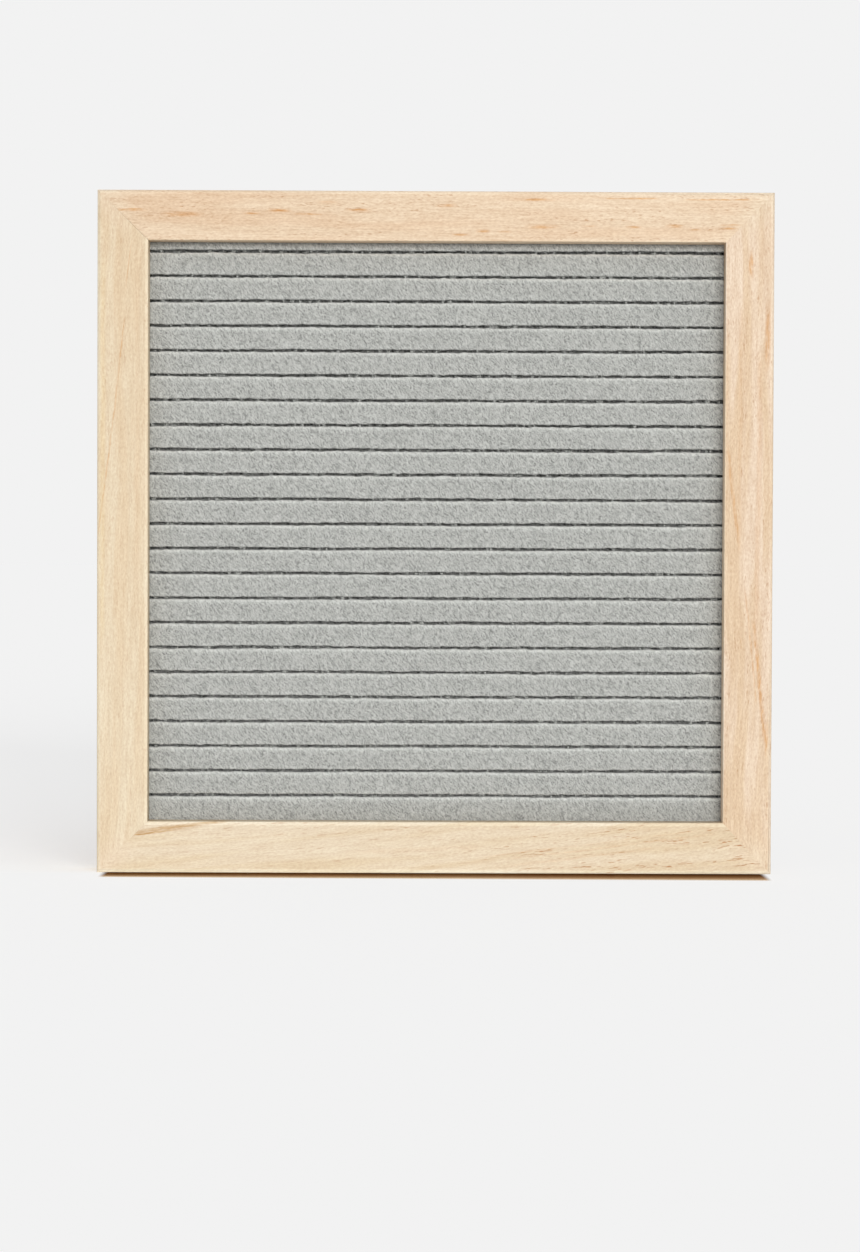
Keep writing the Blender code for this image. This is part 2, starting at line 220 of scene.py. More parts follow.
# %% Sky
world = bpy.data.worlds.new("studio")
world.use_nodes = True
bpy.context.scene.world = world
sky = world.node_tree
sky.nodes.clear()
sky_light = add_node(sky, "Background", {"Color": (1, 1, 1, 1), "Strength": sky_strength})
sky_seen = add_node(sky, "Background", {"Color": (*backdrop_grey, 1)})
rays = add_node(sky, "LightPath").outputs
seen = rays["Is Camera Ray"]
for ray in ("Is Glossy Ray", "Is Transmission Ray"):
    seen = calculate(sky, "MAXIMUM", seen, rays[ray])
sky_mix = add_node(sky, "MixShader", {0: seen, 1: sky_light.outputs[0], 2: sky_seen.outputs[0]})
add_node(sky, "OutputWorld", {"Surface": sky_mix.outputs[0]})
bpy.context.scene.view_settings.view_transform = "Standard"
print("sky strength:", sky_strength)

# %% [markdown]
# ## The floor's look
#
# Part of the floor's white is paint, which takes shadows, and part is a glow, as on a
# sweep that is lit from below. The sum is the backdrop's grey everywhere. Where the
# photographer's shadow is plain to see, behind the board on its left, paint has the
# larger share. A strip of the floor close in front of the board has a gloss, which
# mirrors the wood. Its colour is a painted brown shade that is darkest at the board: a
# painted contact shadow in the reflection. Like every gloss, it shows only to an eye
# that looks along the table.

# %% Floor: paint and glow
floor_side = 400
shadow_share, plain_share = 0.95, 0.15
bounce = 0.55
half_width = solid_box[1].x
shadow_begins, shadow_full = face_y - 4 * MM, face_y + 12 * MM
shadow_side = half_width * 0.8

bpy.ops.object.select_all(action="DESELECT")
bpy.ops.mesh.primitive_plane_add(size=floor_side, location=(0, 0, 0))
floor = bpy.context.object
floor.name = "floor"
floor_finish = bpy.data.materials.new("floor_white")
floor_finish.use_nodes = True
tree = floor_finish.node_tree
tree.nodes.clear()
place = add_node(tree, "SeparateXYZ", {0: add_node(tree, "TexCoord").outputs["Object"]}).outputs

behind = remap(tree, place["Y"], shadow_begins, shadow_full)
leftwards = remap(tree, place["X"], shadow_side, -shadow_side)
share = product(tree, behind, leftwards)
share = remap(tree, share, 0.0, 1.0, plain_share, shadow_share, smooth=False)

paint = tuple(grey / floor_light for grey in backdrop_grey)
matt = add_node(tree, "BsdfDiffuse", {"Color": scaled(tree, paint, share)})
shown = calculate(tree, "MAXIMUM", add_node(tree, "LightPath").outputs["Is Camera Ray"], bounce)
shown = product(tree, shown, calculate(tree, "SUBTRACT", 1.0, share))
glow = add_node(tree, "Emission", {"Color": (*backdrop_grey, 1), "Strength": shown})
white = add_node(tree, "AddShader", {0: matt.outputs[0], 1: glow.outputs[0]})
print("floor paint:", [round(level, 3) for level in paint])

# %% Floor: the polished strip and its painted contact shade
polish_reach = (18.5 * MM, 26.0 * MM)
contact_shade_tint = (0.38, 0.27, 0.185)
contact_shade_depth = 2.4
polish_onset = 0.2
polish_roughness = 0.15
polish_back = face_y + 1.5 * MM
polish_stops = (face_y + 4 * MM, face_y + 2 * MM)
polish_ends = (half_width - 1.5 * MM, half_width - 4.5 * MM)
grazing_range = (0.80, 0.88)

reach = remap(tree, place["X"], -half_width, half_width, *polish_reach, smooth=False)
near = remap(tree, place["Y"], calculate(tree, "SUBTRACT", face_y, reach), polish_back)
ends = remap(tree, calculate(tree, "ABSOLUTE", place["X"]), *polish_ends)
in_front = remap(tree, place["Y"], *polish_stops)
grazing = remap(tree, add_node(tree, "LayerWeight").outputs["Facing"], *grazing_range)
polish = product(tree, ends, in_front, remap(tree, near, 0.0, polish_onset), grazing)
contact_shade_amount = product(tree, near, contact_shade_depth)
# The gloss colour is painted shade: brown, and darkest right at the board, a painted contact shadow.
tint = add_node(tree, "Gamma", {"Color": (*contact_shade_tint, 1), "Gamma": contact_shade_amount})
gloss = add_node(tree, "BsdfAnisotropic", {"Color": tint.outputs[0], "Roughness": polish_roughness})
table = add_node(tree, "MixShader", {0: polish, 1: white.outputs[0], 2: gloss.outputs[0]})
add_node(tree, "OutputMaterial", {"Surface": table.outputs[0]})
floor.data.materials.append(floor_finish)
print("floor:", floor_side, "m,", len(tree.nodes), "nodes")

# %% [markdown]
# ## Helpers for shaping pieces
#
# The same few moves come back for every rigid piece. The solid model's meshes are loose
# triangles, good to measure and poor to shade. A copy with its points merged takes
# smooth shading on the round parts and keeps sharp edges where the wood has them.

# %% Shaping helpers
merge_distance = 0.002 * MM

def only(piece):
    """Makes one object the active and only selected one."""
    bpy.ops.object.select_all(action="DESELECT")
    piece.select_set(True)
    bpy.context.view_layer.objects.active = piece

def merged_copy(node, name, sharp=30, reshape=None):
    """A copy of a solid node, its triangles joined and shaded smooth below an angle."""
    piece = bpy.data.objects.new(name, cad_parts[node].data.copy())
    bpy.context.scene.collection.objects.link(piece)
    piece.data.materials.clear()
    only(piece)
    bpy.ops.object.mode_set(mode="EDIT")
    bpy.ops.mesh.select_all(action="SELECT")
    bpy.ops.mesh.remove_doubles(threshold=merge_distance)
    bpy.ops.object.mode_set(mode="OBJECT")
    if reshape:
        reshape(piece.data)
    bpy.ops.object.shade_smooth_by_angle(angle=math.radians(sharp))
    weigh = piece.modifiers.new("flat_faces_stay_flat", "WEIGHTED_NORMAL")
    weigh.keep_sharp = True
    bpy.ops.object.modifier_apply(modifier=weigh.name)
    return piece

def finish_piece(piece, slot, finish, *nodes):
    """The piece's finish, and the solid nodes that it stands for; the slot argument is not used."""
    piece.data.materials.clear()
    piece.data.materials.append(finish)
    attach(piece, "root")
    if nodes:
        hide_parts(*nodes)

# %% [markdown]
# ## Wood
#
# The rails are bare, pale wood with soft straight grain, a little pinker in one rail and
# yellower in the next. A wood picture could be wrapped round them, but it would not meet
# the mitres the right way. Here the grain is worked out from where a point lies in its
# rail: so far along it, so far in from the outer edge, so deep. Noise that is stretched
# along the rail gives drifts of colour, fibres and short pores, in millimetres. The few
# bold streaks aren't left to noise: each has its own place, lean and length.

# %% Where a point lies in its rail
frame_low, frame_high = solid_box[0], solid_box[1]
rail_places = {
    "top": ("X", "Z", frame_low.x, frame_high.z, -1),
    "bottom": ("X", "Z", frame_low.x, frame_low.z, 1),
    "left": ("Z", "X", frame_low.z, frame_low.x, 1),
    "right": ("Z", "X", frame_low.z, frame_high.x, -1),
}
frame_wide, frame_tall = (frame_high.x - frame_low.x) / MM, (frame_high.z - frame_low.z) / MM
rail_length = {"top": frame_wide, "bottom": frame_wide, "left": frame_tall, "right": frame_tall}
rail_face = (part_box("frame_left_rail")[1].x - frame_low.x) / MM

def rail_point(tree, side):
    """Millimetres along the rail, in from its outer edge, and behind its front face."""
    along, across, start, edge, inwards = rail_places[side]
    place = add_node(tree, "SeparateXYZ", {0: add_node(tree, "TexCoord").outputs["Object"]}).outputs
    run = calculate(tree, "SUBTRACT", place[along], start)
    reach = calculate(tree, "SUBTRACT", place[across], edge)
    depth = calculate(tree, "SUBTRACT", place["Y"], face_y)
    return product(tree, run, 1 / MM), product(tree, reach, inwards / MM), product(tree, depth, 1 / MM)

print("rails:", [round(size, 2) for size in (frame_wide, frame_tall, rail_face)], "mm")

# %% Streaks of darker grain
streak_colour = from_8_bit(214, 158, 98)
tan_colour = from_8_bit(194, 148, 88)
straw_colour = from_8_bit(237, 215, 172)
streak_fade = 12.0
streak_sway = 0.3

def streak(tree, run, reach, wander, place, lean, half, start, end):
    """A soft band along the rail that starts and ends softly, and follows the grain."""
    line = calculate(tree, "MULTIPLY_ADD", run, lean, place)
    off = calculate(tree, "SUBTRACT", calculate(tree, "ADD", reach, wander), line)
    band = remap(tree, calculate(tree, "ABSOLUTE", off), half * 1.5, half * 0.2)
    fade = min(streak_fade, (end - start) / 2)
    opened = remap(tree, run, start, start + fade)
    closed = remap(tree, run, end, end - fade)
    return product(tree, band, opened, closed)

def streaked(tree, colour, streaks, run, reach, wander, bent, seed):
    """The colour with each streak laid over it, the thin ones more broken up."""
    wander = product(tree, wander, streak_sway)
    for place, lean, half, start, end, level, *own_colour in streaks:
        mark = streak(tree, run, reach, wander, place, lean, half, start, end)
        unbroken = min(0.15 + 0.35 * half, 0.6)
        breaks = stretched_noise(tree, bent, (4, 0.6, 0.8), seed + place, 1.0)
        breaks = remap(tree, breaks, 0.38, 0.62, unbroken, 1.0)
        mark = product(tree, mark, breaks, level)
        colour = blend_colours(tree, mark, colour, *(own_colour or [streak_colour]))
    return colour

# %% Corners, pores and painted edge highlights
corner_colour = from_8_bit(234, 212, 183)
corner_reach, corner_likeness = 11.0, 0.85
pore_colour = from_8_bit(192, 143, 100)

def alike_at_corners(tree, colour, side, run, reach):
    """The colour drawn to one shade near a mitre's outer end, where two rails look alike."""
    near_end = calculate(tree, "MINIMUM", run, calculate(tree, "SUBTRACT", rail_length[side], run))
    to_mitre = calculate(tree, "SUBTRACT", near_end, reach)
    outer_half = remap(tree, reach, rail_face * 0.85, rail_face * 0.3)
    alike = remap(tree, to_mitre, corner_reach, 0.0, 0.0, corner_likeness)
    return blend_colours(tree, product(tree, alike, outer_half), colour, corner_colour)

def pores(tree, side, run, bent, seed, size, levels):
    """Short dark dashes in loose groups, their strength going from one end to the other."""
    dashes = remap(tree, stretched_noise(tree, bent, (*size, 0.5), seed + 23, 1.0), 0.60, 0.70)
    groups = stretched_noise(tree, bent, (28, 2.2, 3), seed + 29, 1.0)
    groups = remap(tree, groups, 0.46, 0.64, 0.15, 1.0)
    level = remap(tree, run, 0.0, rail_length[side], *levels, smooth=False)
    return product(tree, dashes, groups, level)

def edge_highlights_and_wear(tree, reach, depth, rub, inner_highlight_and_wear):
    """How much paler the front edges are: a painted highlight on the arrises, partly wear from sanding."""
    on_face = remap(tree, depth, 2.0, 0.6)
    outer = remap(tree, reach, 2.0, 0.6, 0.0, rub)
    inner = remap(tree, reach, rail_face - 0.9, rail_face - 0.4, 0.0, inner_highlight_and_wear)
    return product(tree, calculate(tree, "MAXIMUM", outer, inner), on_face)

# %% The wood itself
fleck_strength, fibre_strength = 0.46, 0.30
channel_response = (0.72, 1.07, 1.40)
pore_depth = -0.8

def wood_finish(
    side, pale, warm, seed, slope, dash_levels, streaks, coarse=1.0, lift=(0.0, 0.0), rub=0.05,
    inner_highlight_and_wear=0.16, sway=5.0, fibre_size=(8, 0.8), band_strength=0.20, dash_size=(2.2, 0.42),
):
    """Bare wood for one rail. slope is how far its grain climbs for each millimetre along."""
    finish, tree, shader = new_finish(f"{side}_rail_wood", roughness=0.6, specular=0.3)
    run, reach, depth = rail_point(tree, side)
    climbed = calculate(tree, "SUBTRACT", reach, product(tree, run, slope))
    straight = add_node(tree, "CombineXYZ", {0: run, 1: climbed, 2: depth}).outputs[0]
    wander = calculate(tree, "SUBTRACT", stretched_noise(tree, straight, (55, 9, 9), seed), 0.5)
    wander = product(tree, wander, sway)
    across = calculate(tree, "ADD", climbed, wander)
    bent = add_node(tree, "CombineXYZ", {0: run, 1: across, 2: depth}).outputs[0]

    drift = remap(tree, stretched_noise(tree, bent, (70, 4.5, 6), seed + 3, 1.0), 0.36, 0.64)
    colour = blend_colours(tree, drift, pale, warm)
    colour = alike_at_corners(tree, colour, side, run, reach)
    colour = streaked(tree, colour, streaks, run, reach, wander, bent, seed)
    dashes = pores(tree, side, run, bent, seed, dash_size, dash_levels)
    colour = blend_colours(tree, dashes, colour, pore_colour)

    bands = stretched_noise(tree, bent, (50, 2.4, 3), seed + 7, 1.0)
    fibres = stretched_noise(tree, bent, (*fibre_size, 1.0), seed + 11, 1.0)
    flecks = stretched_noise(tree, bent, (1.35, 0.52, 0.7), seed + 17, 1.0, 0.6)
    tone = -coarse * (fleck_strength + fibre_strength + band_strength) / 2
    for grain, strength in ((flecks, fleck_strength), (fibres, fibre_strength), (bands, band_strength)):
        tone = calculate(tree, "MULTIPLY_ADD", grain, strength * coarse, tone)
    tone = calculate(tree, "ADD", tone, remap(tree, run, 0.0, rail_length[side], *lift, smooth=False))
    # The paler front edges are a painted highlight where the arrises catch light, partly wear.
    tone = calculate(tree, "ADD", tone, edge_highlights_and_wear(tree, reach, depth, rub, inner_highlight_and_wear))
    change = scaled(tree, channel_response, tone)
    change = add_node(tree, "VectorMath", {0: change, 1: (1, 1, 1)}, operation="ADD").outputs[0]
    colour = add_node(tree, "VectorMath", {0: colour, 1: change}, operation="MULTIPLY").outputs[0]

    tree.links.new(colour, shader.inputs["Base Color"])
    height = calculate(tree, "MULTIPLY_ADD", dashes, pore_depth, fibres)
    add_relief(tree, shader, height, 0.3, 0.05 * MM)
    print("wood for the", side, "rail:", len(tree.nodes), "nodes")
    return finish

# %% [markdown]
# ## Rails
#
# A mitred corner is two pieces cut at 45 degrees and glued. The solid rails stop a tenth
# of a millimetre short of the diagonal, which would show daylight, so the copies are
# closed to a hairline. One joint, at the top left, has opened a little at its inner end.
# A frame that was sanded by hand isn't quite regular either: each inner edge lies a few
# tenths of a millimetre off its line, and its arris is only lightly rounded. Rebuilding
# the rails would lose their rebates and pockets, so the copies' own points are moved.

# %% How each rail looks
# A streak is: place across, lean, half width, start and end along, level, and its own colour.
rail_looks = {
    # The rub levels below paint a highlight along each rail's outer and inner arrises, partly wear.
    "top": dict(
        pale=from_8_bit(234, 209, 179), warm=from_8_bit(230, 201, 169), seed=4.1, slope=0.004,
        dash_levels=(0.60, 0.60), coarse=1.1, lift=(-0.034, 0.034), rub=0.16, inner_highlight_and_wear=0.06,
        sway=2.2, fibre_size=(13, 0.6),
        streaks=[
            (7.7, 0.0, 0.6, 5, 20, 1.0), (9.2, 0.0, 0.9, 22, 42, 0.8), (8.8, 0.0, 0.5, 53, 62, 0.9),
            (7.7, 0.0, 0.7, 62, 74, 1.0), (8.9, 0.0, 0.4, 72, 86, 0.8), (7.3, 0.0, 0.6, 92, 104, 1.0),
            (4.5, 0.0, 0.8, 80, 92, 0.4), (5.6, 0.0, 0.6, 126, 136, 0.9), (16.2, 0.0, 0.5, 132, 140, 0.9),
            (15.0, 0.0, 0.6, 141, 148, 0.9), (15.2, 0.0, 0.4, 149, 156, 0.6),
            (3.2, 0.0, 0.5, 152, 174, 0.8), (13.4, 0.0, 0.9, 158, 176, 0.7),
            (13.0, 0.0, 0.35, 180, 188, 0.6), (2.6, 0.0, 0.35, 185, 217, 0.9),
            (2.9, 0.0, 0.3, 216, 252, 0.9), (13.2, 0.0, 0.5, 197, 205, 0.8),
            (12.8, 0.0, 0.6, 212, 221, 1.0), (14.2, 0.0, 0.4, 221, 227, 0.8),
            (12.4, 0.0, 0.45, 232, 242, 0.9), (13.6, 0.0, 0.45, 232, 241, 0.8),
        ],
    ),
    "bottom": dict(
        pale=from_8_bit(232, 213, 185), warm=from_8_bit(227, 205, 172), seed=19.6, slope=0.10,
        dash_levels=(0.10, 1.30), coarse=0.9, lift=(0.03, -0.02), rub=0.36, band_strength=0.12,
        dash_size=(4.0, 0.42),
        streaks=[
            (13.3, 0.125, 1.0, 2, 44, 0.55, tan_colour), (14.0, 0.120, 0.6, 12, 56, 0.6, tan_colour),
            (12.5, 0.135, 0.4, 5, 34, 0.9, tan_colour),
            (-16.5, 0.125, 0.5, 150, 215, 0.18), (-14.0, 0.125, 0.4, 150, 235, 0.2),
            (-11.0, 0.12, 0.3, 140, 230, 0.2), (3.0, 0.05, 1.0, 90, 150, 0.10),
        ],
    ),
    "left": dict(
        pale=from_8_bit(232, 213, 183), warm=from_8_bit(229, 206, 173), seed=31.2, slope=0.01,
        dash_levels=(0.24, 0.32), coarse=0.9, lift=(0.035, -0.04), rub=0.15, band_strength=0.12,
        streaks=[
            (-14.2, 0.118, 0.3, 122, 212, 0.55), (-15.0, 0.118, 0.25, 216, 240, 0.5),
            (2.2, 0.0, 1.0, 84, 235, 0.5, straw_colour), (14.5, 0.004, 1.0, 90, 240, 0.08),
            (6.8, 0.0, 0.5, 150, 225, 0.10),
        ],
    ),
    "right": dict(
        pale=from_8_bit(235, 211, 185), warm=from_8_bit(228, 200, 167), seed=47.8, slope=-0.012,
        dash_levels=(0.50, 0.50), coarse=1.1, rub=0.13, inner_highlight_and_wear=0.30,
        streaks=[
            (2.6, 0.0, 1.0, 186, 218, 0.7), (8.9, 0.0, 0.8, 222, 236, 0.9),
            (-2.0, 0.119, 0.7, 118, 165, 0.6), (-2.6, 0.104, 0.7, 46, 100, 0.75),
            (-0.8, 0.104, 0.4, 60, 112, 0.5), (2.2, 0.0, 0.6, 42, 60, 0.7),
            (12.0, 0.0, 0.25, 84, 90, 0.8), (7.4, -0.012, 1.0, 90, 200, 0.25),
            (12.5, 0.0, 0.8, 120, 220, 0.15),
        ],
    ),
}
print("streaks:", {side: len(look["streaks"]) for side, look in rail_looks.items()})

# %% Mitres and arrises
solid_mitre_gap = 0.2 * MM
closed_mitre_gap = 0.004 * MM
mitre_tolerance = 0.02 * MM
open_inside = {("left", "top"): 0.10 * MM, ("left", "bottom"): 0.03 * MM}
solid_inner_round, worn_inner_round = 0.7 * MM, 0.3 * MM
round_zone = solid_inner_round * 1.01
lip_depth = 7.8 * MM
sanded = {"top": 0.19 * MM, "bottom": 0.70 * MM, "left": 0.45 * MM, "right": -0.36 * MM}

def shape_rail(mesh, side):
    """Closes the mitres to a glue line, and gives the inner edge its own place and arris."""
    axis, across = (0, 2) if side in ("top", "bottom") else (2, 0)
    edge = frame_high[across] if side in ("top", "right") else frame_low[across]
    inwards = -1 if side in ("top", "right") else 1
    ends = ("left", "right") if axis == 0 else ("bottom", "top")
    keep = worn_inner_round / solid_inner_round
    for vertex in mesh.vertices:
        point = vertex.co
        reach, depth = (point[across] - edge) * inwards, point.y - face_y
        at_start = point[axis] < (frame_low[axis] + frame_high[axis]) / 2
        run = point[axis] - frame_low[axis] if at_start else frame_high[axis] - point[axis]
        neighbour = ends[0] if at_start else ends[1]
        from_arris = rail_face * MM - reach
        in_sight = from_arris < round_zone and depth < lip_depth
        slid, along = 0.0, 0.0
        if in_sight and depth < round_zone:
            slid = from_arris * (1 - keep)
            point.y = face_y + depth * keep
        if abs(run - reach - solid_mitre_gap / math.sqrt(2)) < mitre_tolerance:
            opened = open_inside.get((side, neighbour), 0.0) + open_inside.get((neighbour, side), 0.0)
            inner_half = max(0.0, reach / (rail_face * MM) * 2 - 1)
            along = slid - (solid_mitre_gap - closed_mitre_gap - inner_half * opened) / math.sqrt(2)
            along += sanded[neighbour] if in_sight else 0.0
        point[axis] += along if at_start else -along
        point[across] += (slid + (sanded[side] if in_sight else 0.0)) * inwards

# %% Rails
for side, look in rail_looks.items():
    rail = merged_copy(
        f"frame_{side}_rail", f"{side}_rail", reshape=lambda mesh, side=side: shape_rail(mesh, side)
    )
    finish_piece(rail, "frame_wood", wood_finish(side, **look), f"frame_{side}_rail")
    print(rail.name, len(rail.data.polygons), "faces")

# %% [markdown]
# ## Felt
#
# The felt is one sheet of cloth. It lies flat over a strip of the core board, turns over
# a soft lip into a slot, makes a tight turn at the slot's end and comes out again. Its
# section is worked out from that path, and every height is read from the solid felt, so
# the grooves lie where the solid has them. The real lips aren't straight: the cloth was
# pushed in by hand. Slow noise moves each lip a tenth of a millimetre or so. Each row of
# the section also keeps a tone of painted light: a painted highlight on each lower lip,
# partly its paler fibres from brushing, and painted shade where the upper lip turns in
# and down in the slot.

# %% Where the slots are
felt_low, felt_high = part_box("felt_sheet")
felt_points = [vertex.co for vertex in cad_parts["felt_sheet"].data.vertices]
tuck_ends = sorted({round(point.z / MM, 2) for point in felt_points if point.y > felt_high.y - 0.01 * MM})
slot_heights = [height * MM for height in tuck_ends]
slot_pitch = (slot_heights[-1] - slot_heights[0]) / (len(slot_heights) - 1)
print(len(slot_heights), "slots, pitch", round(slot_pitch / MM, 3), "mm")

# %% The felt's section
felt_thickness = 0.8 * MM
groove_gap = 0.95 * MM
upper_lip_radius = 0.65 * MM
lower_lip_radius = 1.3 * MM
groove_end = felt_high.y - felt_thickness
lip_steps, tuck_steps = 5, 2
# Tones are painted light: a highlight on each lower lip, partly paler fibres from brushing, and shade
# where the upper lip turns in and in the slot.
upper_lip_painted_light = (-0.2, -0.2, -0.2, 0.12, 0.12, 0.12)
lower_lip_painted_light = (0.2, 0.5, 0.9, 1.0, 0.8, 0.1)
slot_painted_shade = -0.9
slot_dusk = 0.9 * MM
lip_fade = 0.9 * MM

def turn(y, z, radius, start, end, steps):
    """Points round a centre, from one angle to another in degrees."""
    angles = [math.radians(start + (end - start) * i / steps) for i in range(steps + 1)]
    return [(y + radius * math.cos(angle), z + radius * math.sin(angle)) for angle in angles]

def felt_section():
    """Rows (y, z, slot, side, tone): side is -1 under a slot, 1 over it, 0 on a flat; tone is painted
    light and shade.
    """
    rows = [(felt_low.y, felt_low.z, 0, 0, 0.0)]
    half = groove_gap / 2
    for slot, height in enumerate(slot_heights):
        below, above = height - half - lower_lip_radius, height + half + upper_lip_radius
        if slot:
            rows.append((felt_low.y, rows[-1][1] + lip_fade, slot, 0, 0.0))
        rows.append((felt_low.y, below - lip_fade, slot, 0, 0.0))
        lower_lip = turn(felt_low.y + lower_lip_radius, below, lower_lip_radius, 180, 90, lip_steps)
        rows += [(*point, slot, -1, tone) for point, tone in zip(lower_lip, lower_lip_painted_light)]
        y, z = lower_lip[-1]
        rows.append((y + slot_dusk, z, slot, -1, slot_painted_shade))
        tuck = turn(groove_end - half, height, half, -90, 90, tuck_steps)
        for i, point in enumerate(tuck):
            rows.append((*point, slot, -1 if i <= tuck_steps / 2 else 1, slot_painted_shade))
        upper_lip = turn(felt_low.y + upper_lip_radius, above, upper_lip_radius, 270, 180, lip_steps)
        y, z = upper_lip[0]
        rows.append((y + slot_dusk, z, slot, 1, slot_painted_shade))
        rows += [(*point, slot, 1, tone) for point, tone in zip(upper_lip, upper_lip_painted_light)]
    rows.append((felt_low.y, felt_high.z, len(slot_heights), 0, 0.0))
    return rows

section = felt_section()
felt_width = felt_high.x - felt_low.x

# %% Hand-made unevenness
lip_wander = 0.22 * MM
flat_wander = 0.05 * MM

def lip_shift(x, slot, side):
    """How far a lip strays from its line at x: a slow sway, a quicker one and a tremble."""
    slow = noise.noise(Vector((x / (26 * MM), slot * 3.7, side * 0.3)))
    quick = noise.noise(Vector((x / (5 * MM), slot * 7.3 + 40, side * 2.3)))
    tremble = noise.noise(Vector((x / (1.9 * MM), slot * 9.1 + 80, side * 4.9)))
    return lip_wander * (0.9 * slow + 0.8 * quick + 1.5 * tremble)

def felt_point(x, row):
    """The place of one row of the section at x. Deep in a slot the sheet lies still."""
    y, z, slot, side, tone = row
    deep = min(1.0, max(0.0, (y - felt_low.y) / upper_lip_radius))
    z += lip_shift(x, slot, side) if side else 0.0
    swell = noise.noise(Vector((x / (9 * MM), z / (7 * MM), 9.0)))
    return x, y + flat_wander * (1 + swell) * (1 - deep), z

# %% Weave the section into a sheet
felt_columns = 226

bm = bmesh.new()
# Each point keeps its row's painted light and shade, partly the paler brushing on the lips.
tone_layer = bm.verts.layers.float.new("brushed_lips_and_painted_light")
grid = []
for column in range(felt_columns + 1):
    x = felt_low.x + felt_width * column / felt_columns
    line = []
    for row in section:
        vertex = bm.verts.new(felt_point(x, row))
        vertex[tone_layer] = row[-1]
        line.append(vertex)
    grid.append(line)
for left, right in zip(grid, grid[1:]):
    for i in range(len(section) - 1):
        bm.faces.new((left[i], right[i], right[i + 1], left[i + 1]))
felt_mesh = bpy.data.meshes.new("felt")
bm.to_mesh(felt_mesh)
bm.free()
felt = bpy.data.objects.new("felt", felt_mesh)
bpy.context.scene.collection.objects.link(felt)
only(felt)
bpy.ops.object.shade_smooth()
print("felt:", len(felt.data.polygons), "faces")

# %% Strands
def strands(tree, point, angles, size, seed, low, high):
    """The brightest of several layers of short strands, each lying at its own angle."""
    most = None
    for index, angle in enumerate(angles):
        rotation = (0, math.radians(angle), 0)
        turned = add_node(tree, "Mapping", {"Vector": point, "Rotation": rotation}).outputs[0]
        layer = remap(tree, stretched_noise(tree, turned, size, seed + 11.0 * index, 1.0), low, high)
        most = layer if most is None else calculate(tree, "MAXIMUM", most, layer)
    return most

# %% Painted shade on the felt near the frame
opening_low = Vector((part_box("frame_left_rail")[1].x, 0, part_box("frame_bottom_rail")[1].z))
opening_high = Vector((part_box("frame_right_rail")[0].x, 0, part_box("frame_top_rail")[0].z))
frame_shade_reach, frame_shade_tone = 9.0, -0.05
rail_shade_reach, under_top_shade_tone, by_right_shade_tone = 1.6, -0.22, -0.14

def frame_shade(tree, point):
    """Painted shade on the felt near the frame, deepest right under the top rail and by the right rail."""
    place = add_node(tree, "SeparateXYZ", {0: point}).outputs
    to_left = calculate(tree, "SUBTRACT", place["X"], opening_low.x / MM)
    to_right = calculate(tree, "SUBTRACT", opening_high.x / MM, place["X"])
    to_bottom = calculate(tree, "SUBTRACT", place["Z"], opening_low.z / MM)
    to_top = calculate(tree, "SUBTRACT", opening_high.z / MM, place["Z"])
    to_side = calculate(tree, "MINIMUM", to_left, to_right)
    to_frame = calculate(tree, "MINIMUM", to_side, calculate(tree, "MINIMUM", to_bottom, to_top))
    # Painted shade all round the opening, and deeper painted shade under the top rail and by the right
    # rail.
    near_frame_shade = remap(tree, to_frame, frame_shade_reach, 0.0, 0.0, frame_shade_tone)
    under_top = remap(tree, to_top, rail_shade_reach, 0.0, 0.0, under_top_shade_tone)
    by_right = remap(tree, to_right, rail_shade_reach, 0.0, 0.0, by_right_shade_tone)
    return calculate(tree, "ADD", near_frame_shade, calculate(tree, "MINIMUM", under_top, by_right))

print("opening:", [round(side / MM, 2) for side in opening_high - opening_low], "mm")

# %% Felt finish
falling_fibres, rising_fibres, shaded_fibres = (-45, -62, -30, -76, -50), (42, 68), (-40, -66, -20)
felt_base, light_weight, dark_weight, mottle_weight, grain_weight = 0.49, 0.70, -0.22, 0.12, 0.46
strand_sway = 1.6
felt_grey = from_8_bit(169, 170, 166)

